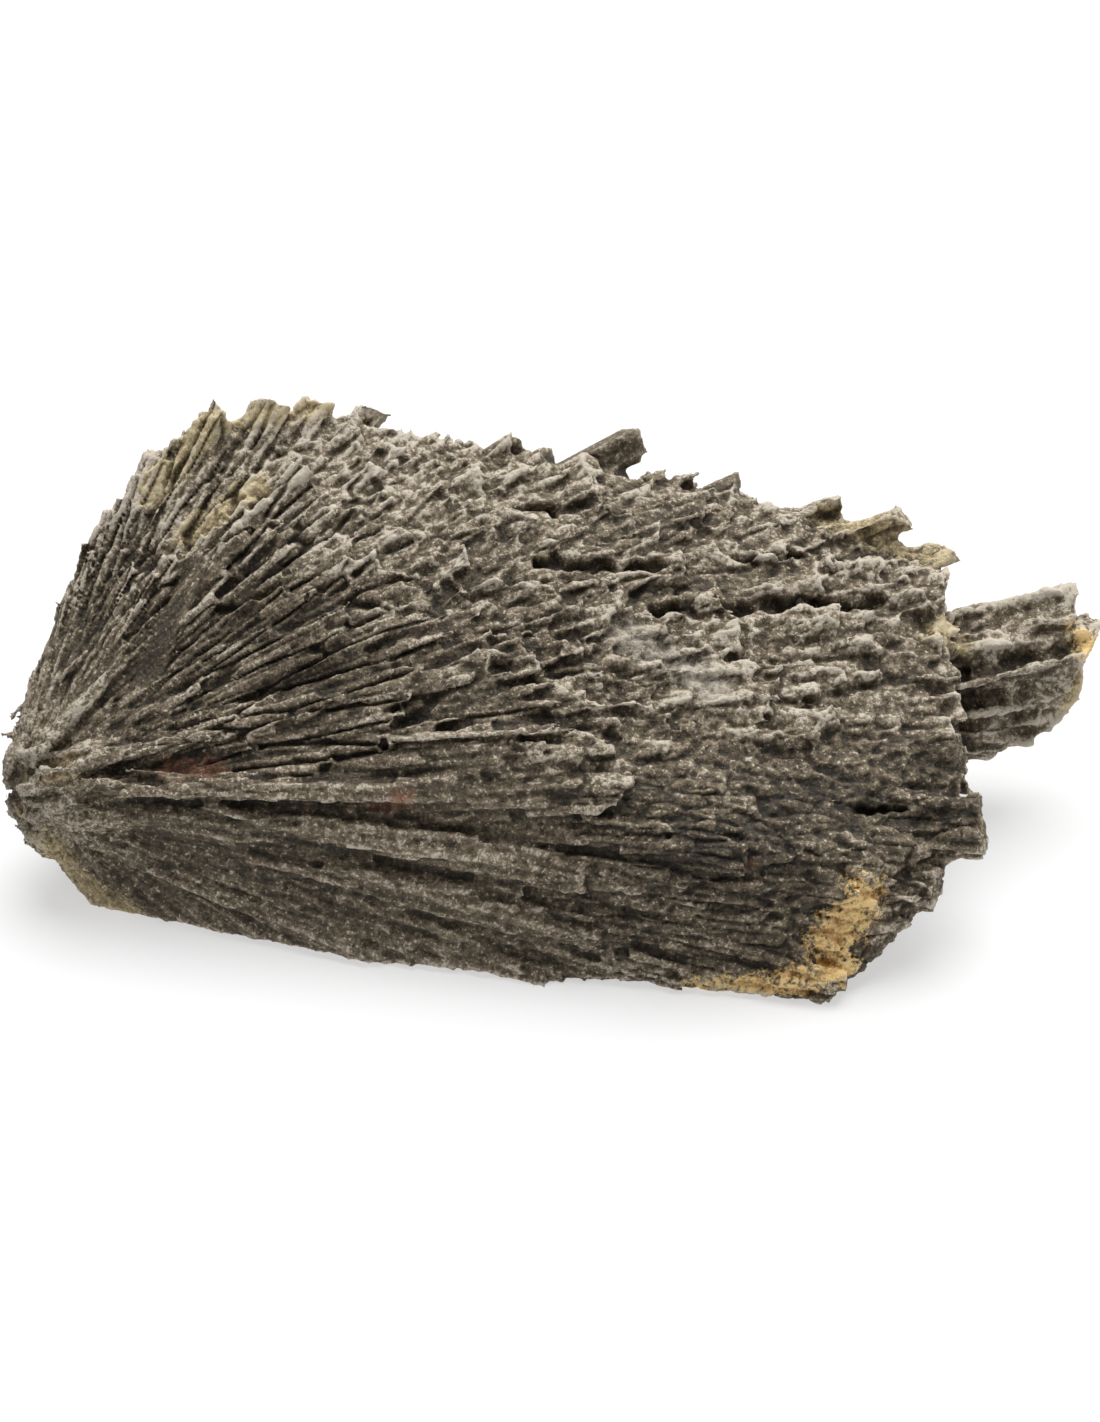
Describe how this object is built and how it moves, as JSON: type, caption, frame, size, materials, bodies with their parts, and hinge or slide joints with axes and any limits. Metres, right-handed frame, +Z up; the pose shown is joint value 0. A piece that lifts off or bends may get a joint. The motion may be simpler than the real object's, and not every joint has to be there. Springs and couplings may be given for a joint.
{
  "type": "black kyanite specimen",
  "caption": "Fan-shaped spray of grown-together dark mineral blades that spread from a low end, lying on its flat broken underside.",
  "frame": {"origin": "centre of the footprint, on the surface that the specimen rests on", "axes": "+X along the mass from the point where the blades meet to their far ends, +Y to the back, +Z up"},
  "size_m": [0.1083, 0.0524, 0.0419],
  "materials": {
    "black_kyanite": "dull grey-brown blades with bright specks, pale dusty tips and ochre rust stains"
  },
  "bodies": {
    "root": {"kyanite_spray": "black_kyanite"}
  },
  "joints": []
}
